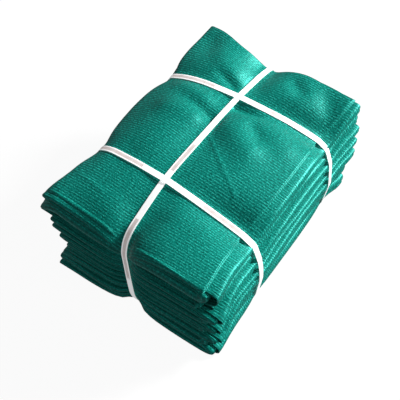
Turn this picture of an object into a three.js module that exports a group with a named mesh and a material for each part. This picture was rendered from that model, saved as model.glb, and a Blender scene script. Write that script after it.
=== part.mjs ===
// A long piece of knitted shade netting, folded into a bale and held by three flat white straps.
// The netting is one strip that runs back and forth across X. Each run is a bundle of plies, so it is
// thicker than a single cloth. Runs lie one on another, a little apart, and turn at each side in a nose.
// Millimetres, +Z up, the bale stands on z = 0, and its long way is Y. Low y is the front.
import * as THREE from "three";

// The bale and its folds
const HALF_LENGTH = 272; // nominal y of the folded edges at the front and the back
const RUN_GAP = 1.6; // air between two runs, at the bale's mean height
const MEAN_HEIGHT = 262;
const FLAT_PART = { left: -158, right: 170 }; // x where each run's flat part ends and its noses begin
const NOSE_STEPS = 4;
const NOSE_BLUNTNESS = 0.55; // 1 is an ellipse, less is fuller
const EDGE_THINNING = 0.45; // a run's thickness right at its folded front or back edge
const SET_BACK = { front: 12, middle: 7, back: 2 }; // the top run's loose right edge lies this far inside
const LOOSE_END = 1; // the loose left edge of the bottom run sticks out this far
const BALE_MIDDLE = { x: 2, y: 7 }; // the bale's own middle, which goes to the origin

// The straps
const STRAP_WIDTH = 13.5;
const STRAP_THICKNESS = 0.8;
const STRAP_CLEARANCE = 0.3;
const SEAT = 9; // half the width of the flat seat that a strap presses into the netting
const UNDER_LIFT = 3.2; // height of the soft valley under the bale where a strap passes
const UNDER_REACH = 30; // distance from the strap at which the underside is flat on the floor again
const SEAT_TOLERANCE = 0.01; // a point this close to a seat's edge lies on it

// Height of the top before the straps bite, at five places from the left side to the right side
const TOP_ROWS = [
  { y: -272, left: 266, leftLobe: 247, middle: 233, rightLobe: 242, right: 240 },
  { y: -200, left: 262, leftLobe: 270, middle: 262, rightLobe: 251, right: 243 },
  { y: 0, left: 257, leftLobe: 284, middle: 272, rightLobe: 261, right: 240 },
  { y: 205, left: 261, leftLobe: 277, middle: 267, rightLobe: 261, right: 244 },
  { y: 272, left: 264, leftLobe: 277, middle: 266, rightLobe: 264, right: 251 },
];

// x of the two sides by share of the height, where they are free and where a strap pulls them in
const SIDE_ROWS = [
  { share: 0, leftFree: -198, leftPulled: -188, rightFree: 202, rightPulled: 197 },
  { share: 0.25, leftFree: -194, leftPulled: -188, rightFree: 207, rightPulled: 209 },
  { share: 0.5, leftFree: -190, leftPulled: -186, rightFree: 209, rightPulled: 209 },
  { share: 0.75, leftFree: -194, leftPulled: -184, rightFree: 208, rightPulled: 205 },
  { share: 0.92, leftFree: -195, leftPulled: -178, rightFree: 204, rightPulled: 194 },
  { share: 1, leftFree: -190, leftPulled: -172, rightFree: 197, rightPulled: 183 },
];

// The runs from the bottom one to the top one: thick is the height that each takes up before the bale is
// pressed to its own height, turn is how far the nose that joins it to the next run stands out past the
// mean side, and front and back are how far its folded edges stand out past the mean ends.
const RUNS = [
  { thick: 14, turn: 0, front: 2, back: 0 },
  { thick: 19, turn: 6, front: -1, back: 3 },
  { thick: 21, turn: -4, front: 3, back: -2 },
  { thick: 19, turn: -8, front: -2, back: 3 },
  { thick: 17, turn: 2, front: 2, back: -3 },
  { thick: 9, turn: -28, front: -3, back: 2 },
  { thick: 8, turn: -4, front: 2, back: -3 },
  { thick: 8, turn: -12, front: -2, back: 4 },
  { thick: 8, turn: 2, front: 2, back: -2 },
  { thick: 9, turn: -6, front: -2, back: 3 },
  { thick: 10, turn: -3, front: 2, back: -3 },
  { thick: 11, turn: -3, front: -1, back: 2 },
  { thick: 11, turn: 3, front: 3, back: -3 },
  { thick: 12, turn: 3, front: 0, back: 3 },
  { thick: 14, turn: -3, front: 3, back: -2 },
  { thick: 18, turn: 15, front: -2, back: 3 },
  { thick: 18, turn: 2, front: 1, back: -1 },
  { thick: 16, turn: 0, front: -2, back: 2 },
  { thick: 15, turn: 0, front: 0, back: 0 },
];

// The two crosswise straps: y where each crosses the middle, its slant, how far its pull reaches along the
// bale, and its bite at the same five places across the top
const CROSS_STRAPS = [
  {
    name: "strap_front", y: -120, slant: 0, reach: 34,
    left: 12, leftLobe: 8, middle: 4, rightLobe: 21, right: 41,
  },
  {
    name: "strap_back", y: 140, slant: 0.1, reach: 31,
    left: 11, leftLobe: 13, middle: 9, rightLobe: 22, right: 38,
  },
];

// The lengthwise strap: x of its plane, how far it draws in the top and the bottom of the front face, and how
// much it lifts the bottom front edge
const LONG_STRAP = {
  name: "strap_lengthwise", x: -4,
  topDrawn: 9, bottomDrawn: 16, edgeLift: 8, edgeFrom: 200, edgeReach: 70,
};

// The lengthwise strap's bite along the top, and how far its pull reaches across the bale
const LONG_BITES = [
  { y: -272, depth: 48, reach: 22 },
  { y: -256, depth: 30, reach: 24 },
  { y: -238, depth: 21, reach: 28 },
  { y: -214, depth: 22, reach: 33 },
  { y: -174, depth: 17, reach: 40 },
  { y: -120, depth: 8, reach: 40 },
  { y: 0, depth: 12, reach: 36 },
  { y: 140, depth: 6, reach: 32 },
  { y: 192, depth: 17, reach: 28 },
  { y: 228, depth: 23, reach: 24 },
  { y: 272, depth: 34, reach: 22 },
];

// Sections along the bale: nominal y and slant. The straps' seats have one at each of their edges.
const SECTIONS = [
  { y: -HALF_LENGTH, slant: 0, thin: EDGE_THINNING },
  { y: -265, slant: 0, thin: 1 },
  { y: -238, slant: 0, thin: 1 },
  { y: -200, slant: 0, thin: 1 },
  { y: CROSS_STRAPS[0].y - SEAT, slant: 0, thin: 1 },
  { y: CROSS_STRAPS[0].y + SEAT, slant: 0, thin: 1 },
  { y: -60, slant: 0, thin: 1 },
  { y: 10, slant: 0.03, thin: 1 },
  { y: 80, slant: 0.07, thin: 1 },
  { y: CROSS_STRAPS[1].y - SEAT, slant: CROSS_STRAPS[1].slant, thin: 1 },
  { y: CROSS_STRAPS[1].y + SEAT, slant: CROSS_STRAPS[1].slant, thin: 1 },
  { y: 198, slant: 0.04, thin: 1 },
  { y: 238, slant: 0, thin: 1 },
  { y: 265, slant: 0, thin: 1 },
  { y: HALF_LENGTH, slant: 0, thin: EDGE_THINNING },
];

// Places across each run's flat part, the lengthwise strap's seat among them, and more on the top run
const RUN_PLACES = [FLAT_PART.left, -90, -36, LONG_STRAP.x - SEAT, LONG_STRAP.x + SEAT, 28, 90, FLAT_PART.right];
const TOP_RUN_EXTRAS = [-140, -115, -63, 59, 115, 140];
const TOP_RUN_CLEARANCE = 2; // the top run's underside lies this much higher at its extra places

const EDGE_START = 250; // the sections past this carry each run's own unevenness
const FRONT_SPREAD = 14; // the bottom run's front edge lies this far ahead of the top run's
// The back edges of the lower runs lie up to about this far inside the top run's, by share of the height
const BACK_RECEDE = { depth: 46, shareFrom: -0.1, shareTo: 0.5 };
const FRONT_FADE = 150; // the front edge's shape dies away towards this y
const BACK_FADE = 165;
const BACK_CORNER = { out: 30, acrossFrom: 60, acrossTo: 190, shareFrom: 0.7 }; // drawn out at the back left
const CORNER_FLARES = { left: { front: 11, back: -4 }, right: { front: 6, back: 7 } };
const FAR_SIDE = 200; // about how far a side lies from the bale's middle
const FLARE_REACH = 80; // a side flares out over this length at each end of the bale

// Shares of the height: where each run begins and ends, and half the gap between two runs
const LAST_RUN = RUNS.length - 1;
const RUNS_HEIGHT = RUNS.reduce((sum, run) => sum + run.thick, 0);
const LEVELS = [0];
for (const run of RUNS) LEVELS.push(LEVELS[LEVELS.length - 1] + run.thick / RUNS_HEIGHT);
const HALF_GAP = RUN_GAP / 2 / MEAN_HEIGHT;

const clamp = THREE.MathUtils.clamp;
const mix = THREE.MathUtils.lerp;
const easeBetween = (from, to, value) => THREE.MathUtils.smoothstep(value, from, to);

// Value of a table at a place: cubic pieces through its rows, with slopes from the rows beside.
function alongTable(rows, key, column, at) {
  const place = clamp(at, rows[0][key], rows[rows.length - 1][key]);
  let i = 0;
  while (i < rows.length - 2 && rows[i + 1][key] < place) i += 1;
  const slope = (j) => {
    const a = rows[Math.max(j - 1, 0)];
    const b = rows[Math.min(j + 1, rows.length - 1)];
    return (b[column] - a[column]) / (b[key] - a[key]);
  };
  const step = rows[i + 1][key] - rows[i][key];
  const t = (place - rows[i][key]) / step;
  const start = rows[i][column] * (1 + 2 * t) * (1 - t) ** 2;
  const end = rows[i + 1][column] * (3 - 2 * t) * t ** 2;
  return start + end + step * t * (1 - t) * (slope(i) * (1 - t) - slope(i + 1) * t);
}

// Five named values across the bale, from side to side, as one smooth line.
const ACROSS = ["left", "leftLobe", "middle", "rightLobe", "right"];
const TOP_SIDES = SIDE_ROWS[SIDE_ROWS.length - 1];
function acrossBale(values, x) {
  const half = x < 0 ? -TOP_SIDES.leftFree : TOP_SIDES.rightFree;
  const rows = ACROSS.map((name, i) => ({ across: i / 2 - 1, value: values[name] }));
  return alongTable(rows, "across", "value", x / half);
}

// How strongly a strap presses at some distance: 1 on its seat, fading on both sides.
const pressAt = (distance, reach) => 1 / (1 + (Math.max(Math.abs(distance) - SEAT, 0) / reach) ** 2);
const crossPress = (strap, x, y) => pressAt(y - strap.y - strap.slant * x, strap.reach);
const longPress = (x, y) => pressAt(x - LONG_STRAP.x, alongTable(LONG_BITES, "y", "reach", y));

// Height of the top surface.
function topHeight(x, y) {
  const free = Object.fromEntries(ACROSS.map((name) => [name, alongTable(TOP_ROWS, "y", name, y)]));
  let height = acrossBale(free, x);
  for (const strap of CROSS_STRAPS) height -= acrossBale(strap, x) * crossPress(strap, x, y);
  return height - alongTable(LONG_BITES, "y", "depth", y) * longPress(x, y);
}

// Height of the underside: flat on the floor but for the valleys along the straps.
function underHeight(x, y) {
  const near = [x - LONG_STRAP.x, ...CROSS_STRAPS.map((strap) => y - strap.y - strap.slant * x)];
  const closest = Math.min(...near.map(Math.abs));
  const valley = UNDER_LIFT * (1 - easeBetween(SEAT, UNDER_REACH, closest));
  const nearFront = easeBetween(LONG_STRAP.edgeFrom, HALF_LENGTH, -y);
  const nearStrap = 1 - easeBetween(SEAT, LONG_STRAP.edgeReach, Math.abs(x - LONG_STRAP.x));
  return valley + LONG_STRAP.edgeLift * nearFront * nearStrap;
}

// x of a side at a share of the height: drawn in where a crosswise strap passes.
function sideAt(side, share, y) {
  const free = alongTable(SIDE_ROWS, "share", side + "Free", share);
  const pulled = alongTable(SIDE_ROWS, "share", side + "Pulled", share);
  const press = Math.max(...CROSS_STRAPS.map((strap) => crossPress(strap, free, y)));
  const flare = CORNER_FLARES[side][y < 0 ? "front" : "back"];
  const outward = flare * easeBetween(HALF_LENGTH - FLARE_REACH, HALF_LENGTH, Math.abs(y));
  return mix(free, pulled, press) + Math.sign(free) * outward;
}

// y of a point: the section's own y, moved near the ends by the bale's shape and the run's uneven edges.
function lengthwise(section, x, share, run) {
  const end = section.y < 0 ? "front" : "back";
  const drawnIn = LONG_STRAP.topDrawn * share ** 3 + LONG_STRAP.bottomDrawn * (1 - share) ** 5;
  const front = FRONT_SPREAD * (1 - share) - drawnIn * longPress(x, -HALF_LENGTH);
  const cornerAcross = easeBetween(BACK_CORNER.acrossFrom, BACK_CORNER.acrossTo, -x);
  const corner = BACK_CORNER.out * cornerAcross * easeBetween(BACK_CORNER.shareFrom, 1, share);
  const risen = easeBetween(BACK_RECEDE.shareFrom, BACK_RECEDE.shareTo, share);
  const back = corner - BACK_RECEDE.depth * (1 - risen);
  const edge = mix(RUNS[Math.floor(run)][end], RUNS[Math.ceil(run)][end], run % 1) * Math.sign(section.y);
  const y = section.y + section.slant * x + (Math.abs(section.y) > EDGE_START ? edge : 0);
  const frontShape = front * easeBetween(FRONT_FADE, HALF_LENGTH, -section.y);
  return y - frontShape + back * easeBetween(BACK_FADE, HALF_LENGTH, section.y);
}

// A point of the netting from its x, its share of the height, its section and the run it belongs to.
function placed(x, share, section, run) {
  const y = lengthwise(section, x, share, run);
  const fromFloor = (share - HALF_GAP) / (1 - 2 * HALF_GAP);
  return new THREE.Vector3(x, y, mix(underHeight(x, y), topHeight(x, y), fromFloor));
}

// Stops along the strip, from the bottom run's loose edge to the top run's. A stop on a run has the x of its
// place, a loose edge has its side, and a stop on a nose has its turn from the lower run to the upper.
function stripStops() {
  const stops = [{ run: 0, loose: "left" }];
  for (let run = 0; run <= LAST_RUN; run += 1) {
    const extras = run === LAST_RUN ? TOP_RUN_EXTRAS : [];
    const places = [...RUN_PLACES, ...extras].sort((a, b) => a - b);
    const rightward = run % 2 === 0;
    for (const x of rightward ? places : places.reverse()) stops.push({ run, x });
    for (let step = 1; step < NOSE_STEPS && run < LAST_RUN; step += 1)
      stops.push({ run, nose: rightward ? "right" : "left", turn: step / NOSE_STEPS });
  }
  return [...stops, { run: LAST_RUN, loose: "right" }];
}

// x of the strip's two loose edges.
function looseEdge(side, section) {
  if (side === "left") return sideAt("left", 0, section.y) - LOOSE_END;
  const towards = section.y < 0 ? SET_BACK.front : SET_BACK.back;
  const setBack = mix(SET_BACK.middle, towards, Math.abs(section.y) / HALF_LENGTH);
  return sideAt("right", 1, section.y) - setBack;
}

// Middle of a run and half its thickness, which shrinks at its folded front and back edges.
function runSpan(run, section) {
  const half = (LEVELS[run + 1] - LEVELS[run]) / 2;
  return { middle: LEVELS[run] + half, half, body: (half - HALF_GAP) * section.thin };
}

// A point on a run's upper or lower face. Under the top run's extra places the face stays as straight as
// the run below it, between the places that both have, and a little higher.
function runPoint(stop, up, section) {
  const { middle, body } = runSpan(stop.run, section);
  const put = (x) => placed(x, middle + up * body, section, stop.run);
  if (stop.loose) return put(looseEdge(stop.loose, section));
  if (up > 0 || RUN_PLACES.includes(stop.x)) return put(stop.x);
  const after = RUN_PLACES.findIndex((x) => x > stop.x);
  const [from, to] = RUN_PLACES.slice(after - 1, after + 1);
  const straight = put(from).lerp(put(to), (stop.x - from) / (to - from));
  return straight.add(new THREE.Vector3(0, 0, TOP_RUN_CLEARANCE));
}

// A point on a nose, which is a blunt half ellipse about the meeting of two runs.
function nosePoint(stop, outer, section) {
  const sign = stop.nose === "right" ? 1 : -1;
  const meeting = LEVELS[stop.run + 1];
  const mean = sideAt(stop.nose, meeting, section.y + section.slant * sign * FAR_SIDE);
  const side = mean + sign * RUNS[stop.run].turn;
  const { half, body } = runSpan(stop.turn > 0.5 ? stop.run + 1 : stop.run, section);
  const radius = half + outer * body;
  const fullness = Math.sqrt(radius / (2 * half - HALF_GAP));
  const angle = Math.PI * (stop.turn - 0.5);
  const blunt = (value) => Math.sign(value) * Math.abs(value) ** NOSE_BLUNTNESS;
  const x = mix(FLAT_PART[stop.nose], side, fullness * blunt(Math.cos(angle)));
  return placed(x, meeting + radius * blunt(Math.sin(angle)), section, stop.run + stop.turn);
}

// The strip's face at a stop: face 1 is on the strip's left hand as it runs from the bottom up.
function facePoint(stop, face, section) {
  if (stop.nose) return nosePoint(stop, stop.nose === "right" ? -face : face, section);
  return runPoint(stop, stop.run % 2 === 0 ? face : -face, section);
}

// A solid from its points and its four-sided faces. Each face is split from its first corner to its third,
// so that runs that lie on each other are split alike and never cross.
function shellGeometry(points, quads) {
  const geometry = new THREE.BufferGeometry();
  const coordinates = points.flatMap((p) => p.toArray());
  geometry.setAttribute("position", new THREE.Float32BufferAttribute(coordinates, 3));
  geometry.setIndex(quads.flatMap(([a, b, c, d]) => [a, b, c, a, c, d]));
  geometry.computeVertexNormals();
  return geometry;
}

// The netting: both faces of the strip, its edges at the front and back, and its two loose ends.
const stops = stripStops();
const nettingPoints = [1, -1].flatMap((face) =>
  SECTIONS.flatMap((section) => stops.map((stop) => facePoint(stop, face, section))),
);
function nettingQuads() {
  const at = (face, section, stop) => ((face > 0 ? 0 : SECTIONS.length) + section) * stops.length + stop;
  const quads = [];
  const lastSection = SECTIONS.length - 1;
  const lastStop = stops.length - 1;
  for (let j = 0; j < lastSection; j += 1) {
    for (let i = 0; i < lastStop; i += 1) {
      const rightward = stops[i].run % 2 === 0;
      const upper = [at(1, j, i), at(1, j, i + 1), at(1, j + 1, i + 1), at(1, j + 1, i)];
      const lower = [at(-1, j, i), at(-1, j + 1, i), at(-1, j + 1, i + 1), at(-1, j, i + 1)];
      quads.push(...[upper, lower].map((quad) => (rightward ? quad : [...quad.slice(1), quad[0]])));
    }
    quads.push([at(1, j, 0), at(1, j + 1, 0), at(-1, j + 1, 0), at(-1, j, 0)]);
    quads.push([at(1, j, lastStop), at(-1, j, lastStop), at(-1, j + 1, lastStop), at(1, j + 1, lastStop)]);
  }
  for (let i = 0; i < lastStop; i += 1) {
    quads.push([at(1, 0, i), at(-1, 0, i), at(-1, 0, i + 1), at(1, 0, i + 1)]);
    const back = [at(1, lastSection, i), at(1, lastSection, i + 1)];
    quads.push([...back, at(-1, lastSection, i + 1), at(-1, lastSection, i)]);
  }
  return quads;
}

// The loop that a taut strap takes round a section: the section's convex hull, left turns only.
function hull(points) {
  const sorted = [...points].sort((a, b) => a.x - b.x || a.y - b.y);
  const turn = (a, b, c) => (b.x - a.x) * (c.y - a.y) - (b.y - a.y) * (c.x - a.x);
  const chain = (list) => {
    const kept = [];
    for (const p of list) {
      while (kept.length > 1 && turn(kept[kept.length - 2], kept[kept.length - 1], p) <= 1e-6) kept.pop();
      kept.push(p);
    }
    return kept.slice(0, -1);
  };
  return [...chain(sorted), ...chain(sorted.reverse())];
}

// A closed loop moved outwards by a distance, with mitred corners.
function grown(loop, distance) {
  return loop.map((p, i) => {
    const before = loop[(i + loop.length - 1) % loop.length];
    const after = loop[(i + 1) % loop.length];
    const a = new THREE.Vector2(p.y - before.y, before.x - p.x).normalize();
    const b = new THREE.Vector2(after.y - p.y, p.x - after.x).normalize();
    const bisector = a.clone().add(b).normalize();
    return bisector.multiplyScalar(distance / bisector.dot(a)).add(p);
  });
}

// A flat strap: its loop in the plane of the section, its width across that plane.
function strapGeometry(loop, toSpace) {
  const inner = grown(loop, STRAP_CLEARANCE);
  const outer = grown(loop, STRAP_CLEARANCE + STRAP_THICKNESS);
  const half = STRAP_WIDTH / 2;
  const rings = [[inner, -half], [outer, -half], [outer, half], [inner, half]];
  const points = rings.flatMap(([ring, side]) => ring.map((p) => toSpace(p, side)));
  const quads = [];
  const count = loop.length;
  for (let i = 0; i < count; i += 1) {
    const next = (i + 1) % count;
    for (let ring = 0; ring < 4; ring += 1) {
      const beside = (ring + 1) % 4;
      quads.push([ring * count + i, ring * count + next, beside * count + next, beside * count + i]);
    }
  }
  return shellGeometry(points, quads);
}

// The lengthwise strap goes on first, round every point of the netting on its seat's two edges.
function lengthwiseLoop() {
  const onSeat = (p) => Math.abs(Math.abs(p.x - LONG_STRAP.x) - SEAT) < SEAT_TOLERANCE;
  return hull(nettingPoints.filter(onSeat).map((p) => new THREE.Vector2(p.y, p.z)));
}
const longLoop = lengthwiseLoop();

// Highest and lowest point of the lengthwise strap within the width of a strap that crosses it at y.
function longStrapAround(y) {
  const outer = grown(longLoop, STRAP_CLEARANCE + STRAP_THICKNESS);
  const heights = [y - SEAT, y, y + SEAT].flatMap((place) =>
    outer.flatMap((a, i) => {
      const b = outer[(i + 1) % outer.length];
      if ((a.x - place) * (b.x - place) > 0 || a.x === b.x) return [];
      return [mix(a.y, b.y, (place - a.x) / (b.x - a.x))];
    }),
  );
  return [Math.max(...heights), Math.min(...heights)];
}

// A crosswise strap lies over the lengthwise one at both crossings.
function crossLoop(strap) {
  const across = (p) => p.y - strap.y - strap.slant * p.x;
  const onSeat = (p) => Math.abs(Math.abs(across(p)) - SEAT) < SEAT_TOLERANCE;
  const around = nettingPoints.filter(onSeat).map((p) => new THREE.Vector2(p.x, p.z));
  for (const x of [LONG_STRAP.x - STRAP_WIDTH / 2, LONG_STRAP.x + STRAP_WIDTH / 2])
    for (const height of longStrapAround(strap.y)) around.push(new THREE.Vector2(x, height));
  return hull(around);
}

function named(name, geometry, material) {
  const mesh = new THREE.Mesh(geometry, material);
  mesh.name = name;
  return mesh;
}

const nettingGreen = new THREE.MeshStandardMaterial({ color: 0x14806b, roughness: 0.6, metalness: 0 });
const strapWhite = new THREE.MeshStandardMaterial({ color: 0xf1ecea, roughness: 0.35, metalness: 0 });

const bale = new THREE.Group();
bale.add(named("netting", shellGeometry(nettingPoints, nettingQuads()), nettingGreen));
const onLongPlane = (p, side) => new THREE.Vector3(LONG_STRAP.x + side, p.x, p.y);
bale.add(named(LONG_STRAP.name, strapGeometry(longLoop, onLongPlane), strapWhite));
for (const strap of CROSS_STRAPS) {
  const onCrossPlane = (p, side) => new THREE.Vector3(p.x, strap.y + strap.slant * p.x - side, p.y);
  bale.add(named(strap.name, strapGeometry(crossLoop(strap), onCrossPlane), strapWhite));
}
bale.position.set(-BALE_MIDDLE.x, -BALE_MIDDLE.y, 0);

export default bale;
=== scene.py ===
import bpy
import numpy as np
from mathutils import Matrix


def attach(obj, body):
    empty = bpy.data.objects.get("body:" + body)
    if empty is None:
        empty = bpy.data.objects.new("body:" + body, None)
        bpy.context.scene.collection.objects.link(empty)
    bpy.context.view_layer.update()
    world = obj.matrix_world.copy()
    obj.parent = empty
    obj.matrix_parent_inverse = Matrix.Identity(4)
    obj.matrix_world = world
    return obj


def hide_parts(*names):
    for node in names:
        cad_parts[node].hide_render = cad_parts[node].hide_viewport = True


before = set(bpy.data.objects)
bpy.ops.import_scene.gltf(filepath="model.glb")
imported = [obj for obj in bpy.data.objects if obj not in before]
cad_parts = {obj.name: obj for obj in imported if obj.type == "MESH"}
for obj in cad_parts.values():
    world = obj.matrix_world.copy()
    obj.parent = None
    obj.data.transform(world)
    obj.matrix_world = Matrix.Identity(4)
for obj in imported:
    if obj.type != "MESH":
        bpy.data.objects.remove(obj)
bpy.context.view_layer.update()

# The camera
# A longish lens that looks down on the near right corner of the bale from standing height. It is turned a
# little on its own axis, and the whole bale is in its frame.
LOOKS_FROM = {"azimuth": 41.32, "elevation": 53.47, "roll": -7.83, "distance": 1.4923}
LOOKS_AT = np.array([0.01176, -0.0528, 0.12])
LENS = 63


def add_camera():
    """A camera whose view axis leaves the target at the azimuth and elevation, then rolls about itself."""
    azimuth, elevation, roll = np.radians([LOOKS_FROM[key] for key in ("azimuth", "elevation", "roll")])
    level = np.cos(elevation)
    back = np.array([np.sin(azimuth) * level, -np.cos(azimuth) * level, np.sin(elevation)])
    side = np.cross(-back, [0, 0, 1])
    side /= np.linalg.norm(side)
    up = np.cross(side, -back)
    turned_side = side * np.cos(roll) + up * np.sin(roll)
    turned_up = up * np.cos(roll) - side * np.sin(roll)
    place = LOOKS_AT + back * LOOKS_FROM["distance"]
    matrix = Matrix.Identity(4)
    for column, vector in enumerate([turned_side, turned_up, back, place]):
        for row in range(3):
            matrix[row][column] = vector[row]
    camera = bpy.data.objects.new("camera", bpy.data.cameras.new("camera"))
    camera.data.lens = LENS
    camera.matrix_world = matrix
    bpy.context.scene.collection.objects.link(camera)
    bpy.context.scene.camera = camera


add_camera()

# The netting
# One strip of knitted plastic netting. Its width is folded in three plies, and the three plies together run
# back and forth across the bale, nineteen runs one on another, with a nose at each side. Sizes are
# millimetres in the bale's own axes, x across, y along, z up.
MM = 0.001
BALE_MIDDLE = np.array([2, 7, 0])
HALF_LENGTH = 272
FLAT_PART = {"left": -158, "right": 170}
CLOTH_THICKNESS = 0.8

# Height of the top before the straps bite: places along the bale, and five lines from the left to the right
LINE_SHARES = [-1, -0.5, 0, 0.5, 1]
TOP_PLACES = [-HALF_LENGTH, -200, 0, 205, HALF_LENGTH]
TOP_LINES = {
    "left": [266, 262, 257, 261, 264],
    "left_lobe": [247, 270, 284, 277, 277],
    "middle": [233, 262, 272, 267, 266],
    "right_lobe": [242, 251, 261, 261, 264],
    "right": [240, 243, 240, 244, 251],
}

# x of the sides by share of the height, where they are free and where a strap pulls them in, and how far
# each one turns out at its front and at its back end
SIDE_SHARES = [0, 0.25, 0.5, 0.75, 0.92, 1]
FREE_SIDES = {"left": [-198, -194, -190, -194, -195, -190], "right": [202, 207, 209, 208, 204, 197]}
PULLED_SIDES = {"left": [-188, -188, -186, -184, -178, -172], "right": [197, 209, 209, 205, 194, 183]}
SIDE_FLARE = {"left": [11, -4], "right": [6, 7]}
FLARE_LENGTH = 80

# The straps' seats: half their width and how wide their edge is, and for each strap its place, how far off
# it still draws the netting down, and how deep it bites. Bites go from left to right, or front to back.
SEAT = 9
SEAT_EDGE = 3
CROSS_STRAPS = {
    "strap_front": {"y": -120, "slant": 0, "reach": 34, "bite": [14, 3, 8, 4, 21, 41]},
    "strap_back": {"y": 140, "slant": 0.1, "reach": 31, "bite": [11, 11, 13, 9, 22, 38]},
}
BITE_SHARES = [-1, -0.75, -0.5, 0, 0.5, 1]
BITE_DEPTH = 3
LONG_STRAP_X = -4
LONG_BITE_PLACES = [-HALF_LENGTH, -256, -238, -214, -194, -174, -120, 0, 100, 140, 192, 228, HALF_LENGTH]
LONG_BITES = [60, 30, 21, 22, 21, 17, 8, 12, 9, 5, 17, 23, 34]
LONG_REACHES = [13, 15, 21, 31, 38, 40, 40, 36, 34, 32, 34, 36, 36]

# The underside: the valley under each strap, and the front edge, which the lengthwise strap draws up
UNDER_VALLEY = {"deep": 3.2, "spread": 30}
FRONT_RISE = {"high": 8, "from": 200, "spread": 70}

# The ends: how far the lengthwise strap draws the front in, by share of the height. The front's foot stands
# out, the back leans in below, and the top's back left corner is drawn out.
DRAWN_SHARES = [0, 0.25, 0.5, 0.7, 0.9, 1]
LONG_DRAWN = [16, 11, 11, 12, 11, 9]
FRONT_FOOT = {"out": 14, "from": 150}
BACK_LEAN = {"in": 46, "from": 165, "shares": [-0.1, 0.5]}
BACK_CORNER = {"out": 30, "leftward": [60, 190], "shares": [0.7, 1]}

# The runs from the bottom up: thickness, how far the nose to the next run stands out, and how far the front
# and back edges stand out past the bale's ends, from this far along it
RUN_THICK = np.array([14, 19, 21, 19, 17, 9, 8, 8, 8, 9, 10, 11, 11, 12, 14, 18, 18, 16, 15])
RUN_TURN = np.array([0, 2, -4, -12, 2, -30, -4, -20, 2, -10, -3, -5, 3, -1, -3, 9, 2, -8, 0])
RUN_FRONT = np.array([2, -1, 3, -2, 2, -3, 2, -2, 2, -2, 2, -1, 3, 0, 3, -2, 1, -2, 0])
RUN_BACK = np.array([0, 3, -2, 3, -3, 2, -3, 4, -2, 3, -3, 2, -3, 3, -2, 3, -1, 2, 0])
RUN_ENDS_FROM = 240
LEVELS = np.concatenate([[0], np.cumsum(RUN_THICK)]) / RUN_THICK.sum()
LEVEL_HEIGHT = 262
LAST_RUN = len(RUN_THICK) - 1

# Towards the front the runs spread unevenly: the third from the top thickens, and the two beside it thin out
FRONT_THICK = np.array([14, 16, 17, 15, 13, 9, 9, 10, 10, 11, 12, 12, 12, 11, 12, 7, 42, 7, 15])
FRONT_LEVELS = np.concatenate([[0], np.cumsum(FRONT_THICK)]) / FRONT_THICK.sum()
FRONT_SPREAD_FROM = 190

# The noses' front corners: how far each one stands out and is lifted there, for the nose that ends each run.
# Inside the outer ply the others stand back, which leaves each end open.
NOSE_FLARE = np.array([2, 2, -3, -2, 4, -11, -6, -15, 3, -9, -5, -1, 7, -8, -9, 4, 4, 0, 0])
NOSE_LIFT = np.array([0, 0, 2, 0, -2, 0, 3, 0, -3, 0, 3, 0, -4, 0, 5, 0, -2, 0, 0])
NOSE_HOLLOW = np.array([2, 0, 9, 0, 1, 0, 12, 0, 2, 0, 7, 0, 3, 0, 17, 0, 12, 0, 0])
NOSE_CORNER_FROM = 205
OUTER_PLY = 0.95

# The noses' outlines: squareness along the sides and at the front corner, the crease where two runs meet,
# each nose's own wave, and the length of strip that it takes
SQUARENESS = {"left": [4.5, 1.25], "right": [5, 2.4]}
NOSE_CREASE = {"deep": 1.8, "wide": 0.13}
NOSE_WAVE = {"high": 1.5, "long": 260, "seed": 100, "seed_step": 7}
NOSE_LENGTH = 60

# Where the three plies lie in a run that goes rightward, as shares of its thickness. The lowest ply is loose
# at the front, the upper two are joined there, and at the back it is the lower two.
PLIES = [0.1, 0.32, 0.9]

# The plies' front and back ends: the waves of loose edges, which stand in a little more, and those of folds
ENDS_FROM = 215
LOOSE_EDGE = {"wave": 1.4, "long": 150, "in": 4, "seed": 10}
FOLDED_EDGE = {"wave": 1.4, "long": 180, "seed": 11}
FOLD_BULGE = 1.3

# The strip's two loose edges: how far the bottom run's stands out past the left side, and how far the top
# run's stands back from the right one at the front, in the middle and at the back
BOTTOM_EDGE_OUT = 1
TOP_EDGE_BACK = [12, 7, 2]

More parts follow.
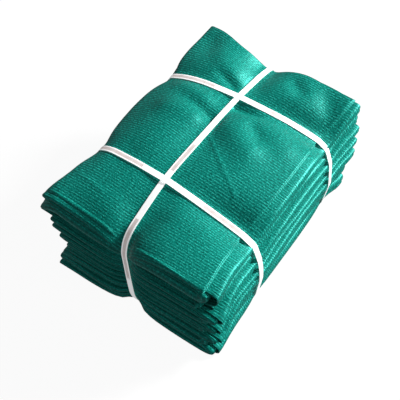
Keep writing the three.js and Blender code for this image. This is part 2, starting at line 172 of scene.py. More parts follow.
# Creases on the top: two ends, half width, and height of the ridge, or depth of the trough if it is negative.
# Some begin softly, and are full only from a share of their length.
CREASE_DEPTH = 0.02
CREASE_BEGINS = -0.2
CREASES = [
    {"start": (-130, 76), "end": (-20, 60), "wide": 15, "high": -9, "full_from": 1},
    {"start": (-110, 30), "end": (-48, 36), "wide": 22, "high": 4},
    {"start": (-120, 104), "end": (-56, 98), "wide": 20, "high": 4},
    {"start": (76, 124), "end": (4, 114), "wide": 11, "high": -9, "full_from": 0.7},
    {"start": (30, 58), "end": (90, 26), "wide": 32, "high": 8},
    {"start": (124, 92), "end": (150, 74), "wide": 24, "high": 3},
    {"start": (112, 50), "end": (66, 86), "wide": 15, "high": -5, "full_from": 0.7},
    {"start": (10, 15), "end": (73, -35), "wide": 2.6, "high": 1.9},
    {"start": (73, -35), "end": (126, -72), "wide": 2.6, "high": 1.6},
    {"start": (-90, 178), "end": (-34, 162), "wide": 12, "high": -8, "full_from": 0.9},
    {"start": (-100, 206), "end": (-44, 194), "wide": 32, "high": 7},
    {"start": (56, 204), "end": (104, 202), "wide": 34, "high": 3},
    {"start": (-150, 246), "end": (-110, 200), "wide": 26, "high": -5},
    {"start": (60, 246), "end": (96, 222), "wide": 15, "high": -5, "full_from": 0.6},
    {"start": (140, 262), "end": (184, 196), "wide": 24, "high": -6, "full_from": 0.5},
    {"start": (30, -222), "end": (30, -160), "wide": 24, "high": -3},
    {"start": (-171, -194), "end": (-88, -208), "wide": 3, "high": 1.4},
    {"start": (-188, -257), "end": (-30, -258), "wide": 2.6, "high": 2.6},
    {"start": (18, -262), "end": (150, -270), "wide": 2.6, "high": 2.6},
]


def ease(low, high, at):
    """0 before low, 1 after high, and between them three times the square less twice the cube."""
    t = np.clip((at - low) / (high - low), 0, 1)
    return t * t * (3 - 2 * t)


def through(places, values, at):
    """Cubic pieces through the values at the places, each slope being that between the places beside it."""
    places = np.asarray(places, float)
    at = np.clip(np.asarray(at, float), places[0], places[-1])
    values = np.asarray(values, float)
    if values.ndim == 1:
        values = values.reshape(-1, *[1] * at.ndim)
    values = np.broadcast_to(values, (len(places), *at.shape))
    after = np.minimum(np.arange(len(places)) + 1, len(places) - 1)
    before = np.maximum(np.arange(len(places)) - 1, 0)
    span = (places[after] - places[before]).reshape(-1, *[1] * at.ndim)
    slopes = (values[after] - values[before]) / span
    low = np.searchsorted(places[1:-1], at)
    step = places[low + 1] - places[low]
    t = (at - places[low]) / step
    value = [np.take_along_axis(values, (low + end)[None], 0)[0] for end in (0, 1)]
    slope = [np.take_along_axis(slopes, (low + end)[None], 0)[0] * step for end in (0, 1)]
    ends = value[0] * (1 + 2 * t) * (1 - t) ** 2 + value[1] * (3 - 2 * t) * t**2
    return ends + t * (1 - t) * (slope[0] * (1 - t) - slope[1] * t)


def across_bale(shares, values, x):
    """Values from the left side, at share -1, to the right side, at share 1, as one smooth line across."""
    return through(shares, values, x / np.where(x < 0, -FREE_SIDES["left"][-1], FREE_SIDES["right"][-1]))


def pressed(distance, reach):
    """1 on a strap's seat, and one over one plus the square of the distance past it in reaches."""
    return 1 / (1 + (np.maximum(np.abs(distance) - SEAT, 0) / reach) ** 2)


def from_cross_strap(strap, x, y):
    """Distance along the bale from the strap's slanting middle line."""
    return y - strap["y"] - strap["slant"] * x


def creased(x, y, share, on_seat):
    """Sum of the creases: each is its height times the bell curve of the distance from its line. It grows
    along its line if it begins softly, and dies away below the top within a depth of some of its own widths.
    A ridge is flattened on a strap's seat."""
    total = np.zeros(np.broadcast(x, y, share).shape)
    for crease in CREASES:
        held = on_seat if crease["high"] > 0 else 0
        start = np.array(crease["start"])
        run = np.array(crease["end"]) - start
        along = np.clip(((x - start[0]) * run[0] + (y - start[1]) * run[1]) / (run @ run), 0, 1)
        distance = np.hypot(x - start[0] - along * run[0], y - start[1] - along * run[1])
        begun = ease(CREASE_BEGINS, crease["full_from"], along) if "full_from" in crease else 1
        fade = ease(1 - CREASE_DEPTH * crease["wide"], 1, share) * begun
        total += crease["high"] * fade * (1 - held) * np.exp(-((distance / crease["wide"]) ** 2))
    return total


def under_height(x, y):
    """The underside: flat on the floor, with a soft valley along each strap and the front edge drawn up."""
    from_long = np.abs(x - LONG_STRAP_X)
    nearest = from_long
    for strap in CROSS_STRAPS.values():
        nearest = np.minimum(nearest, np.abs(from_cross_strap(strap, x, y)))
    valley = UNDER_VALLEY["deep"] * (1 - ease(SEAT, UNDER_VALLEY["spread"], nearest))
    rise = FRONT_RISE["high"] * ease(FRONT_RISE["from"], HALF_LENGTH, -y)
    return valley + rise * (1 - ease(SEAT, FRONT_RISE["spread"], from_long))


def height_at(x, y, share):
    """Height of a layer: its share of the way from the underside to the free top, less the bites of the
    straps, which fade with the distance from each and with a power of the share, plus the creases."""
    long_distance = x - LONG_STRAP_X
    long_reach = through(LONG_BITE_PLACES, LONG_REACHES, y)
    bite = through(LONG_BITE_PLACES, LONG_BITES, y) * pressed(long_distance, long_reach)
    on_seat = pressed(long_distance, SEAT_EDGE)
    for strap in CROSS_STRAPS.values():
        distance = from_cross_strap(strap, x, y)
        bite += across_bale(BITE_SHARES, strap["bite"], x) * pressed(distance, strap["reach"])
        on_seat = np.maximum(on_seat, pressed(distance, SEAT_EDGE))
    lines = [through(TOP_PLACES, line, y) for line in TOP_LINES.values()]
    free = across_bale(LINE_SHARES, lines, x) - CLOTH_THICKNESS / 2
    low = under_height(x, y) + CLOTH_THICKNESS / 2
    return low + (free - low) * share - bite * share**BITE_DEPTH + creased(x, y, share, on_seat)


def side_at(side, share, y):
    """x of a side: its free line mixed with its pulled-in line by the straps' press, flared at its ends."""
    free = through(SIDE_SHARES, FREE_SIDES[side], share)
    pulled = through(SIDE_SHARES, PULLED_SIDES[side], share)
    strap_press = [pressed(from_cross_strap(s, free, y), s["reach"]) for s in CROSS_STRAPS.values()]
    flare = np.where(y < 0, *SIDE_FLARE[side])
    outward = flare * ease(HALF_LENGTH - FLARE_LENGTH, HALF_LENGTH, np.abs(y))
    return free + (pulled - free) * np.maximum(*strap_press) + np.sign(free) * outward


def lengthwise(nominal, x, share, front, back):
    """y of a point: the nominal y, moved at the ends by the run's own edge and by the bale's end shape."""
    own_front = front * ease(RUN_ENDS_FROM, HALF_LENGTH, -nominal)
    own_back = back * ease(RUN_ENDS_FROM, HALF_LENGTH, nominal)
    drawn_in = through(DRAWN_SHARES, LONG_DRAWN, share) * pressed(x - LONG_STRAP_X, LONG_REACHES[0])
    front_shape = FRONT_FOOT["out"] * (1 - share) - drawn_in
    front_shape *= ease(FRONT_FOOT["from"], HALF_LENGTH, -nominal)
    corner = ease(*BACK_CORNER["leftward"], -x) * ease(*BACK_CORNER["shares"], share)
    lean = 1 - ease(*BACK_LEAN["shares"], share)
    back_shape = BACK_CORNER["out"] * corner - BACK_LEAN["in"] * lean
    back_shape *= ease(BACK_LEAN["from"], HALF_LENGTH, nominal)
    return nominal + own_back - own_front - front_shape + back_shape


# A slow random line's sines, how far their wavelengths spread, and how high their sum would otherwise be
WANDER_SINES = 4
WANDER_SPREAD = [0.6, 1.7]
WANDER_PEAK = 1.2


def wander(seed, at, wavelength):
    """A slow random line between about -1 and 1: a few sines of unlike wavelengths and phases."""
    draw = np.random.default_rng(seed)
    total = np.zeros(np.shape(at))
    for _ in range(WANDER_SINES):
        longer = draw.uniform(*WANDER_SPREAD)
        phase = draw.uniform(0, 2 * np.pi)
        total += np.sin(2 * np.pi * at / (wavelength * longer) + phase)
    return total / WANDER_SINES**0.5 / WANDER_PEAK


def ply_path(alongs, fold_steps):
    """The way across the plies, from the loose front edge of the lowest to the loose back edge of the
    highest: share of the run's thickness, nominal y, and bulge past the end, -1 at a front fold's tip."""
    angle = np.linspace(-np.pi / 2, np.pi / 2, fold_steps + 2)[1:-1]
    parts = [(PLIES[0], alongs[0], 0)]
    for ply, end in ((0, 1), (1, -1)):
        low, high = PLIES[ply], PLIES[ply + 1]
        middle = (low + high) / 2 + (high - low) / 2 * np.sin(angle)
        parts.append((middle, np.full(angle.shape, HALF_LENGTH * end), end * np.cos(angle)))
        parts.append((high, alongs[ply + 1][::-end], 0))
    columns = [np.broadcast_arrays(*part) for part in parts]
    return [np.concatenate(column) for column in zip(*columns)]


def edge_waves(plies, along_strip, fold_thick):
    """Nominal y once the front and back ends wave. The plies end short by half the thickness of the fold
    there, a loose edge by a little more, and the fold's own points bulge out again."""
    fraction, nominal, bulge = plies
    lowest, middle, highest = PLIES
    total = 0
    for end, loose_ply, low, high in ((-1, lowest, middle, highest), (1, highest, lowest, middle)):
        loose = wander(LOOSE_EDGE["seed"] + end, along_strip, LOOSE_EDGE["long"]) * LOOSE_EDGE["wave"]
        folded = wander(FOLDED_EDGE["seed"] + end, along_strip, FOLDED_EDGE["long"]) * FOLDED_EDGE["wave"]
        wave = np.where(np.isclose(fraction, loose_ply), loose - LOOSE_EDGE["in"], folded)
        fold = (high - low) / 2 * fold_thick
        total = total + end * ease(ENDS_FROM, HALF_LENGTH, end * nominal) * (wave - fold)
        total = total + np.where(bulge * end > 0, bulge * fold * FOLD_BULGE, 0)
    return nominal + total


def level(run, at_front):
    """Share of the height at which a run begins, mixed from the bale's middle and its front."""
    return LEVELS[run] * (1 - at_front) + FRONT_LEVELS[run] * at_front


def nose_outline(turn, rightward, at_corner):
    """How far up, from -1 to 1, and how far out, from 0 to 1, a nose is at each turn. Up and out, each raised
    to the squareness, add up to 1: that is a circle at 2, a flat face above it and a point below it."""
    left, right = [along + (corner - along) * at_corner for along, corner in SQUARENESS.values()]
    squareness = np.where(rightward, right, left)
    upward = -np.cos(np.pi * turn)
    return upward, (1 - np.minimum(np.abs(upward), 1) ** squareness) ** (1 / squareness)


def nose_x(side, run, meeting, nominal, from_low, outline):
    """x round a nose: out from the flat part by the outline's share of the way to where the nose stands. The
    inner plies go less far, by the root of their distance from the meeting, and stand back at the corner."""
    upward, outward = outline
    sign, outermost = {"left": (-1, PLIES[2]), "right": (1, 1 - PLIES[0])}[side]
    at_corner = ease(NOSE_CORNER_FROM, HALF_LENGTH, -nominal)
    seeds = NOSE_WAVE["seed"] + NOSE_WAVE["seed_step"] * np.arange(LAST_RUN + 1)
    waves = np.stack([wander(seed, nominal, NOSE_WAVE["long"]) for seed in seeds]) * NOSE_WAVE["high"]
    own = RUN_TURN[run] + NOSE_FLARE[run] * at_corner + waves[run[:, 0]]
    way_out = side_at(side, meeting, nominal) + sign * own - FLAT_PART[side]
    fullness = np.sqrt((1 - from_low) / outermost)
    hollow = np.where(fullness < OUTER_PLY, NOSE_HOLLOW[run] * at_corner, 0)
    crease = NOSE_CREASE["deep"] * np.exp(-((upward / NOSE_CREASE["wide"]) ** 2))
    return FLAT_PART[side] + way_out * fullness * outward - sign * (crease + hollow) * outward


def netting_points(strip, plies):
    """Points of the sheet, a row for each stop along the strip and a column for each across the plies. On a
    flat part a point keeps its x. On a nose it goes round the meeting of two runs, the outer ply furthest.
    Its share of the height then gives y and z."""
    run, flat_x, turn, reach = strip.T[..., None]
    fraction, nominal, _ = plies
    run = run.astype(int)
    on_nose = turn >= 0
    rightward = run % 2 == 0
    upper_run = np.minimum(run + 1, LAST_RUN)

    at_front = ease(FRONT_SPREAD_FROM, HALF_LENGTH, -nominal)
    bottom, top, upper_top = [level(each, at_front) for each in (run, run + 1, upper_run + 1)]
    meeting = top + NOSE_LIFT[run] * at_front / LEVEL_HEIGHT
    from_low = np.where(rightward, fraction, 1 - fraction)
    outline = nose_outline(turn, rightward, ease(NOSE_CORNER_FROM, HALF_LENGTH, -nominal))
    depth = (1 - from_low) * np.where(turn > 0.5, upper_top - top, top - bottom)
    share = np.where(on_nose, meeting + depth * outline[0], bottom + from_low * (top - bottom))

    left_nose, right_nose = [nose_x(side, run, meeting, nominal, from_low, outline) for side in FLAT_PART]
    left_loose = side_at("left", 0, nominal) - BOTTOM_EDGE_OUT
    set_back = through([-HALF_LENGTH, 0, HALF_LENGTH], TOP_EDGE_BACK, nominal)
    right_loose = side_at("right", 1, nominal) - set_back
    to_loose = np.where(run == 0, left_loose - FLAT_PART["left"], right_loose - FLAT_PART["right"])
    x = np.where(on_nose, np.where(rightward, right_nose, left_nose), flat_x + reach * to_loose)

    blend = np.clip(turn, 0, 1)
    by_run = [RUN_FRONT, RUN_BACK, RUN_THICK]
    front, back, fold_thick = [each[run] * (1 - blend) + each[upper_run] * blend for each in by_run]
    width = FLAT_PART["right"] - FLAT_PART["left"]
    gone = np.where(rightward, flat_x - FLAT_PART["left"], FLAT_PART["right"] - flat_x)
    along_strip = run * (width + NOSE_LENGTH) + np.where(on_nose, width + NOSE_LENGTH * turn, gone)
    y = lengthwise(edge_waves(plies, along_strip, fold_thick), x, share, front, back)

    lowest = PLIES[0] * LEVELS[1]
    highest = 1 - (1 - PLIES[2]) * (1 - LEVELS[-2])
    z = height_at(x, y, (share - lowest) / (highest - lowest))
    return (np.stack([x, y, z], 2) - BALE_MIDDLE) * MM


def surface(name, points, u, v):
    """A mesh of a grid of points, with a value of u for each row and one of v for each column as its UV map.
    Where u or v has one value more than the grid, the grid closes on itself that way."""
    rows, columns = points.shape[:2]
    closing = ((0, len(u) - rows), (0, len(v) - columns))
    index = np.pad(np.arange(rows * columns).reshape(rows, columns), closing, "wrap")
    place = np.arange(index.size).reshape(index.shape)
    quads = np.stack([place[:-1, :-1], place[1:, :-1], place[1:, 1:], place[:-1, 1:]], 2).reshape(-1, 4)
    mesh = bpy.data.meshes.new(name)
    mesh.from_pydata(points.reshape(-1, 3), [], index.ravel()[quads])
    mesh.polygons.foreach_set("use_smooth", np.ones(len(quads), bool))
    flat = np.stack(np.meshgrid(u, v, indexing="ij"), 2).reshape(-1, 2)
    mesh.uv_layers.new(name="cloth").data.foreach_set("uv", flat[quads.ravel()].ravel())
    piece = bpy.data.objects.new(name, mesh)
    bpy.context.scene.collection.objects.link(piece)
    return piece


def lengths(points, axis):
    """Running length of a grid along one axis, as the mean of all its lines along that axis."""
    steps = np.linalg.norm(np.diff(points, axis=axis), axis=2).mean(1 - axis)
    return np.concatenate([[0], np.cumsum(steps)])


class Wire:
    """A socket in a material's sums. Each operator adds the Math node that works it out."""

    def __init__(self, shader, socket):
        self.shader, self.socket = shader, socket

    def math(self, operation, *others, flipped=False):
        values = [self, *others][::-1] if flipped else [self, *others]
        return self.shader.add("ShaderNodeMath", {"operation": operation}, *values)

    def __add__(self, other):
        return self.math("ADD", other)

    def __sub__(self, other):
        return self.math("SUBTRACT", other)

    def __rsub__(self, other):
        return self.math("SUBTRACT", other, flipped=True)

    def __mul__(self, other):
        return self.math("MULTIPLY", other)

    def __pow__(self, other):
        return self.math("POWER", other)

    __radd__ = __add__
    __rmul__ = __mul__

    def wave(self, pitch):
        """Sine between -1 and 1 that repeats once in each pitch."""
        return (self * (2 * np.pi / pitch)).math("SINE")

    def between(self, low, high):
        """0 at low, 1 at high, clamped, with soft ends."""
        settings = {"interpolation_type": "SMOOTHSTEP"}
        return self.shader.add("ShaderNodeMapRange", settings, self, low, high, 0.0, 1.0)


class Shader:
    """A material whose nodes are added one call at a time."""

    def __init__(self, name, **constants):
        self.material = bpy.data.materials.new(name)
        self.material.use_nodes = True
        self.tree = self.material.node_tree
        self.surface = self.tree.nodes["Principled BSDF"]
        for socket, value in constants.items():
            self.surface.inputs[socket.replace("_", " ")].default_value = value

    def add(self, kind, settings=None, *values, output=0, **named):
        """A node of this kind: its settings first, then its sockets by place, None being left, or name."""
        node = self.tree.nodes.new(kind)
        for setting, value in (settings or {}).items():
            setattr(node, setting, value)
        inputs = [(node.inputs[place], value) for place, value in enumerate(values) if value is not None]
        inputs += [(node.inputs[name.replace("_", " ")], value) for name, value in named.items()]
        for socket, value in inputs:
            if isinstance(value, Wire):
                self.tree.links.new(value.socket, socket)
            else:
                socket.default_value = value
        return Wire(self, node.outputs[output])

    def uv(self):
        """The two wires of a piece's own UV map, along it and across it."""
        both = self.add("ShaderNodeUVMap", {"uv_map": "cloth"})
        return [self.add("ShaderNodeSeparateXYZ", None, both, output=axis) for axis in (0, 1)]

    def noise(self, scale, detail, where=None):
        """Soft noise between 0 and 1, with so many lumps in a unit of the place, or in a metre."""
        place = where or self.add("ShaderNodeTexCoord", None, output=3)
        return self.add("ShaderNodeTexNoise", None, Vector=place, Scale=scale, Detail=detail)

    def mix_colours(self, share, first, second):
        """The first colour at share 0 and the second at share 1."""
        return self.add("ShaderNodeMix", {"data_type": "RGBA"}, share, *[None] * 5, first, second, output=2)

    def finish(self, **wires):
        """Links wires to the shader's own sockets by name."""
        for socket, wire in wires.items():
            self.tree.links.new(wire.socket, self.surface.inputs[socket.replace("_", " ")])
        return self.material


# The knit in metres: ribs along the strip, and ticks of two sizes, the tapes' pattern with painted glints
RIB_PITCH = 0.0056
RIB_NARROWNESS = 1.4
TICK = {"long": 0.006, "wide": 0.0024, "detail": 1.0, "layer": 0.0}
FINE_TICK = {"long": TICK["long"] / 2.4, "wide": TICK["wide"] / 1.3, "detail": 0.0, "layer": 3.0}
TICK_EDGE = [0.3, 0.7]
KNIT_RELIEF = {"Strength": 0.5, "Distance": 0.0007}

# What each one adds to the colour, from deep green to bright green, where the ticks paint the tapes' glints,
# and a slow drift over the cloth
COLOUR_SHARES = {"rib": 0.34, "tick": 0.34, "fine": 0.32, "drift": 0.25}
BUMP_SHARES = {"rib": 0.35, "tick": 0.65}
DRIFT = {"scale": 9, "detail": 4}
DEEP_GREEN = (0.0005, 0.075, 0.055, 1)
GREEN = (0.001, 0.2, 0.155, 1)
BRIGHT_GREEN = (0.03, 0.52, 0.42, 1)
DEEP_TO_GREEN = [0.1, 0.5]
GREEN_TO_BRIGHT = [0.5, 0.95]
GREEN_GLOSS = (0.12, 1, 0.88, 1)


def ticks(shader, u, v, tick):
    """Short ticks along the ribs, painted glints on the tapes: noise drawn out to their length and width, its
    middle values spread.
    """
    along, across = u * (1 / tick["long"]), v * (1 / tick["wide"])
    place = shader.add("ShaderNodeCombineXYZ", None, along, across, tick["layer"])
    return shader.noise(1.0, tick["detail"], place).between(*TICK_EDGE)


def knit_material():
    """Knitted plastic netting: raised ribs along the strip, crossed by flat tapes whose glints are painted in
    short bright ticks.
    Ribs, ticks and a slow drift add up to a share between the greens, and the first two to the bumps."""
    shader = Shader("netting", Roughness=0.4, Specular_IOR_Level=0.75, Specular_Tint=GREEN_GLOSS)
    u, v = shader.uv()
    rib = (v.wave(RIB_PITCH) * 0.5 + 0.5) ** RIB_NARROWNESS
    tick = ticks(shader, u, v, TICK)
    fine = ticks(shader, u, v, FINE_TICK)
    drift = shader.noise(DRIFT["scale"], DRIFT["detail"]) - 0.5
    parts = {"rib": rib, "tick": tick, "fine": fine, "drift": drift}
    share = sum(parts[name] * part for name, part in COLOUR_SHARES.items())
    low = shader.mix_colours(share.between(*DEEP_TO_GREEN), DEEP_GREEN, GREEN)
    colour = shader.mix_colours(share.between(*GREEN_TO_BRIGHT), low, BRIGHT_GREEN)
    bumps = sum(parts[name] * part for name, part in BUMP_SHARES.items())
    normal = shader.add("ShaderNodeBump", None, Height=bumps, **KNIT_RELIEF)
    return shader.finish(Base_Color=colour, Normal=normal)


knit = knit_material()
netting_grids = []


def netting_piece(name, strip, plies):
    """A stretch of the strip as a thin shell with a UV map in metres, in place of the netting's solid, which
    is hidden."""
    points = netting_points(strip, plies)
    netting_grids.append(points)
    u, v = lengths(points, 0), lengths(points, 1)
    piece = surface(name, points, u, v)
    piece.data.materials.append(knit)
    shell = piece.modifiers.new("thickness", "SOLIDIFY")
    shell.thickness = CLOTH_THICKNESS * MM
    shell.offset = 0
    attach(piece, "root")
    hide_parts("netting")


# The grid's steps. It is closer near the straps and the ends: place, half width and weight of each peak.
DENSITY_STEPS = 2000
PEAKS_ALONG = [
    (CROSS_STRAPS["strap_front"]["y"], 22, 1),
    (CROSS_STRAPS["strap_back"]["y"], 26, 1),
    (-HALF_LENGTH, 14, 4),
    (HALF_LENGTH, 14, 4),
]
PEAKS_ACROSS = [(LONG_STRAP_X, 20, 1)]
STACK_STEPS = {"along": 34, "left": 11, "right": 12, "fold": 4, "loose": 4}
STACK_CLOSENESS = 1.5
TOP_STEPS = {"along": 190, "across": 110, "fold": 10, "loose": 7}
TOP_CLOSENESS = 0.8
NOSE_STEPS = 13

# The two runs in whose middle, and so behind the lengthwise strap, the strip is cut into three pieces
CUT_RUNS = [9, LAST_RUN - 1]


def stations(low, high, count, peaks, closeness):
    """Places from low to high, closer together near the peaks: even steps of the running total of a density
    that is 1 plus a bell curve at each peak."""
    fine = np.linspace(low, high, DENSITY_STEPS)
    density = np.ones(fine.shape)
    for place, width, weight in peaks:
        density += closeness * weight * np.exp(-(((fine - place) / width) ** 2))
    total = np.concatenate([[0], np.cumsum((density[1:] + density[:-1]) / 2)])
    return np.interp(np.linspace(0, total[-1], count), total, fine)


def run_stops(run, across):
    """Stops on a run's flat part: run, x, no turn, and no way gone towards the loose edge."""
    x = across if run % 2 == 0 else across[::-1]
    return np.stack(np.broadcast_arrays(run, x, -1, 0.0), 1)


def nose_stops(run):
    """Stops round the nose from a run to the next, with the turn going from 0 to 1."""
    turn = np.linspace(0, 1, NOSE_STEPS + 2)[1:-1]
    return np.stack(np.broadcast_arrays(run, 0, turn, 0), 1)


def loose_stops(run, side, steps):
    """Stops between a run's flat part and its loose edge at one side of the bale."""
    reach = np.linspace(0, 1, steps + 1)[1:]
    stops = np.stack(np.broadcast_arrays(run, FLAT_PART[side], -1, reach), 1)
    return stops[::-1] if side == "left" else stops


def stack_strip(first, last):
    """The strip from the middle of one cut run, or from the loose edge of the bottom run, to the middle of
    another. It leaves a cut leftward, and comes to the next one from the right."""
    if first == 0:
        stops = [loose_stops(0, "left", STACK_STEPS["loose"]), run_stops(0, whole), nose_stops(0)]
    else:
        stops = [run_stops(first, left_half), nose_stops(first)]
    for run in range(first + 1, last):
        stops += [run_stops(run, whole), nose_stops(run)]
    return np.concatenate([*stops, run_stops(last, right_half)])


stack_along = stations(-HALF_LENGTH, HALF_LENGTH, STACK_STEPS["along"], PEAKS_ALONG, STACK_CLOSENESS)
left_half = stations(FLAT_PART["left"], LONG_STRAP_X, STACK_STEPS["left"], PEAKS_ACROSS, STACK_CLOSENESS)
right_half = stations(LONG_STRAP_X, FLAT_PART["right"], STACK_STEPS["right"], PEAKS_ACROSS, STACK_CLOSENESS)
whole = np.concatenate([left_half, right_half[1:]])
stack_plies = ply_path([stack_along] * 3, STACK_STEPS["fold"])
netting_piece("netting_bottom", stack_strip(0, CUT_RUNS[0]), stack_plies)
netting_piece("netting_middle", stack_strip(*CUT_RUNS), stack_plies)

# The last half run, the nose and the top run are finer, because their creases show
top_along = stations(-HALF_LENGTH, HALF_LENGTH, TOP_STEPS["along"], PEAKS_ALONG, TOP_CLOSENESS)
top_across = stations(*FLAT_PART.values(), TOP_STEPS["across"], PEAKS_ACROSS, TOP_CLOSENESS)
top_plies = ply_path([stack_along, stack_along, top_along], TOP_STEPS["fold"])
top_stops = [run_stops(CUT_RUNS[1], left_half), nose_stops(CUT_RUNS[1]), run_stops(LAST_RUN, top_across)]
top_stops.append(loose_stops(LAST_RUN, "right", TOP_STEPS["loose"]))
netting_piece("netting_top", np.concatenate(top_stops), top_plies)

# The straps
# Three closed loops of flat white polypropylene strapping, drawn tight. The lengthwise loop went on first and
# the two crosswise ones pass over it. Along some stretches the middle is matt, between bright borders.
STRAP_WIDTH = 13.5
STRAP_THICKNESS = 0.8
STRAP_STEP = 2.5
STRAP_SOFTNESS = 5
STRAP_CLEARANCE = 0.5
STRAP_MARGIN = 5
DIRECTIONS = 1440
EDGE_POINTS = 7
FACE_POINTS = 7

# Its finish: white, with fine ribs, a mottled warm grey where it is matt, and a painted glow that keeps it
# pale in shade
STRAP_WHITE = (0.9, 0.9, 0.9, 1)
MATT_TONE = (0.46, 0.38, 0.36, 1)
STRAP_ROUGHNESS = 0.35
# Strength of the painted glow: the strap shines in its own colour, so it stays pale in shade
STRAP_PAINTED_GLOW = 0.45
STRAP_RIBS = {"pitch": 1.9, "high": 0.3}
STRAP_RELIEF = {"Strength": 0.3, "Distance": 0.0003}
MATT_ROUGHER = 0.25
MOTTLE = {"scale": 90, "detail": 3, "depth": 0.6, "least": 0.5}

# Where the matt stretches are, in millimetres along the bale for the lengthwise strap and across it for the
# others, above what height, how softly they end there, and their edges as shares of the strap's half width
MATT_STRETCHES = {
    "strap_lengthwise": [(-310, -219), (-103, -26)],
    "strap_front": [(-175, -58), (84, 176)],
    "strap_back": [(-168, -62), (69, 180)],
}
MATT_END = 1
MATT_LOWEST = 105
MATT_LOWEST_SOFTNESS = 5
MATT_EDGE = [0.5, 0.66]


def strap_loop(section):
    """A tight loop round the points of a cross section: the outermost point in each direction, then even
    steps along the straight lines between those points, rounded by a bell-shaped moving average."""
    angle = np.linspace(0, 2 * np.pi, DIRECTIONS, endpoint=False)
    corners = section[np.argmax(section @ np.stack([np.cos(angle), np.sin(angle)]), axis=0)]
    corners = corners[np.any(corners != np.roll(corners, 1, axis=0), axis=1)]
    corners = np.concatenate([corners, corners[:1]])
    gone = np.concatenate([[0], np.cumsum(np.linalg.norm(np.diff(corners, axis=0), axis=1))])
    count = int(gone[-1] / STRAP_STEP)
    at = np.linspace(0, gone[-1], count, endpoint=False)
    loop = np.stack([np.interp(at, gone, axis) for axis in corners.T], 1)
    per_millimetre = np.fft.fftfreq(count, gone[-1] / count)
    kept = np.exp(-2 * (np.pi * per_millimetre * STRAP_SOFTNESS) ** 2)
    return np.fft.ifft(np.fft.fft(loop, axis=0) * kept[:, None], axis=0).real


def strap_profile():
    """Across a strap and out from its loop: a flat band with half-round edges, as a closed ring of points."""
    half = STRAP_THICKNESS / 2
    flat = STRAP_WIDTH / 2 - half
    turn = np.linspace(-np.pi / 2, np.pi / 2, EDGE_POINTS)
    edge = np.stack([flat + half * np.cos(turn), half * np.sin(turn)], 1)
    inner = np.linspace(1, -1, FACE_POINTS + 2)[1:-1] * flat
    upper = np.stack([inner, np.full(inner.shape, half)], 1)
    return np.concatenate([edge, upper, -edge, -upper])


def strap_points(cloth, origin, along, sideways):
    """Points of a strap, a row for each step along its loop and a column for each point of its profile. The
    loop lies in the upright plane through the origin and the along direction, round the cloth's points that
    are under the strap or within a small margin of its edges."""
    near = cloth[np.abs((cloth - origin) @ sideways) < STRAP_WIDTH / 2 + STRAP_MARGIN]
    loop = strap_loop(np.stack([(near - origin) @ along, near[:, 2]], 1))
    tangent = np.roll(loop, -1, axis=0) - np.roll(loop, 1, axis=0)
    tangent /= np.linalg.norm(tangent, axis=1)[:, None]
    across, out = strap_profile().T
    lift = out + (CLOTH_THICKNESS + STRAP_THICKNESS) / 2 + STRAP_CLEARANCE
    outward = np.stack([tangent[:, 1], -tangent[:, 0]], 1)[:, None] * lift[:, None]
    points = origin + (loop[:, None, :1] + outward[..., :1]) * along + across[:, None] * sideways
    points[..., 2] = loop[:, None, 1] + outward[..., 1]
    return points


def strap_material(name, axis):
    """White plastic with fine ribs along the strap. Along the matt stretches its middle is a mottled warm
    grey. It glows a little in its own colour, painted light that keeps it pale where it lies in shade."""
    shader = Shader(name, Roughness=STRAP_ROUGHNESS, Emission_Strength=STRAP_PAINTED_GLOW)
    place = shader.add("ShaderNodeTexCoord", None, output=3)
    along = shader.add("ShaderNodeSeparateXYZ", None, place, output=axis) * (1 / MM)
    height = shader.add("ShaderNodeSeparateXYZ", None, place, output=2) * (1 / MM)
    across = shader.uv()[1]
    core = 1 - across.math("ABSOLUTE").between(*[edge * STRAP_WIDTH / 2 for edge in MATT_EDGE])
    stretches = 0
    for low, high in MATT_STRETCHES[name]:
        stretches += along.between(low, low + MATT_END) * (1 - along.between(high, high + MATT_END))
    above = height.between(MATT_LOWEST - MATT_LOWEST_SOFTNESS, MATT_LOWEST + MATT_LOWEST_SOFTNESS)
    matt = core * stretches * above
    mottle = shader.noise(MOTTLE["scale"], MOTTLE["detail"]) * MOTTLE["depth"] + MOTTLE["least"]
    colour = shader.mix_colours(matt * mottle, STRAP_WHITE, MATT_TONE)
    bumps = across.wave(STRAP_RIBS["pitch"]) * STRAP_RIBS["high"] - matt
    normal = shader.add("ShaderNodeBump", None, Height=bumps, **STRAP_RELIEF)
    rough = matt * MATT_ROUGHER + STRAP_ROUGHNESS
    # The emission in the strap's own colour is a painted glow
    return shader.finish(Base_Color=colour, Emission_Color=colour, Normal=normal, Roughness=rough)


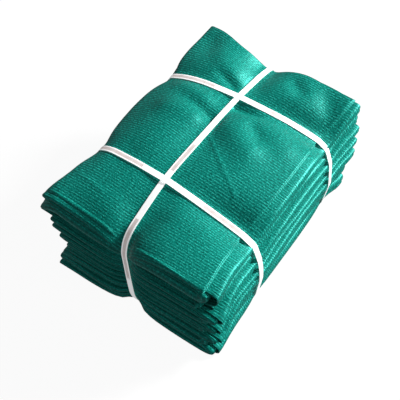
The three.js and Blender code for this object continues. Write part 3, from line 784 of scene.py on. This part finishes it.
def add_strap(name, cloth, origin, along):
    """One strap round the cloth's points, in place of its solid, with a UV map in millimetres. What comes
    back is its own points."""
    origin = np.array([*origin, 0]) - BALE_MIDDLE
    along = np.array([*along, 0]) / np.linalg.norm(along)
    sideways = np.array([-along[1], along[0], 0])
    points = strap_points(cloth, origin, along, sideways)
    across = strap_profile()[:, 0]
    gone = np.arange(len(points) + 1) * STRAP_STEP
    piece = surface(name, points * MM, gone, np.append(across, across[0]))
    piece.data.materials.append(strap_material(name, int(along[1] > along[0])))
    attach(piece, "root")
    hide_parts(name)
    return points.reshape(-1, 3)


bale = np.concatenate([points.reshape(-1, 3) for points in netting_grids]) / MM
bound = np.concatenate([bale, add_strap("strap_lengthwise", bale, (LONG_STRAP_X, 0), (0, 1))])
for name, strap in CROSS_STRAPS.items():
    add_strap(name, bound, (0, strap["y"]), (1, strap["slant"]))

# The floor and the light
# A plain white floor under soft light that comes from above, from behind the bale and from its right. The
# floor glows, so that it stays white, but sheds no light on the bale. Sizes and places here are metres.
FLOOR_SIZE = 30
PALE = {"Base_Color": (0.07, 0.07, 0.07, 1), "Emission_Color": (1, 1, 1, 1), "Emission_Strength": 0.94}
LIGHTS = {
    "key": {"place": (1.75, 2.2, 1.75), "size": 0.7, "power": 190},
    "side": {"place": (3.0, -0.1, 1.3), "size": 1.0, "power": 11},
}
SKY_COLOUR = (0.9, 0.95, 1, 1)
SKY_STRENGTH = 0.17


def look_along(direction):
    """Columns of a turn whose third axis points against a direction."""
    back = -direction / np.linalg.norm(direction)
    side = np.cross([0, 1, 0], back)
    side /= np.linalg.norm(side)
    return np.stack([side, np.cross(back, side), back], 1)


def add_light(name, place, size, power):
    """A square light at a place, facing the bale."""
    light = bpy.data.objects.new(name, bpy.data.lights.new(name, "AREA"))
    light.data.size = size
    light.data.energy = power
    place = np.array(place)
    light.matrix_world = Matrix.Translation(place) @ Matrix(look_along(-place)).to_4x4()
    bpy.context.scene.collection.objects.link(light)


bpy.ops.mesh.primitive_plane_add(size=FLOOR_SIZE)
floor = bpy.context.object
floor.name = "floor"
floor.data.materials.append(Shader("floor", Roughness=1.0, **PALE).material)
floor.visible_diffuse = False
floor.visible_glossy = False

for name, light in LIGHTS.items():
    add_light(name, **light)

world = bpy.data.worlds.new("studio")
world.use_nodes = True
world.node_tree.nodes["Background"].inputs["Color"].default_value = SKY_COLOUR
world.node_tree.nodes["Background"].inputs["Strength"].default_value = SKY_STRENGTH
bpy.context.scene.world = world
bpy.context.scene.view_settings.view_transform = "Standard"
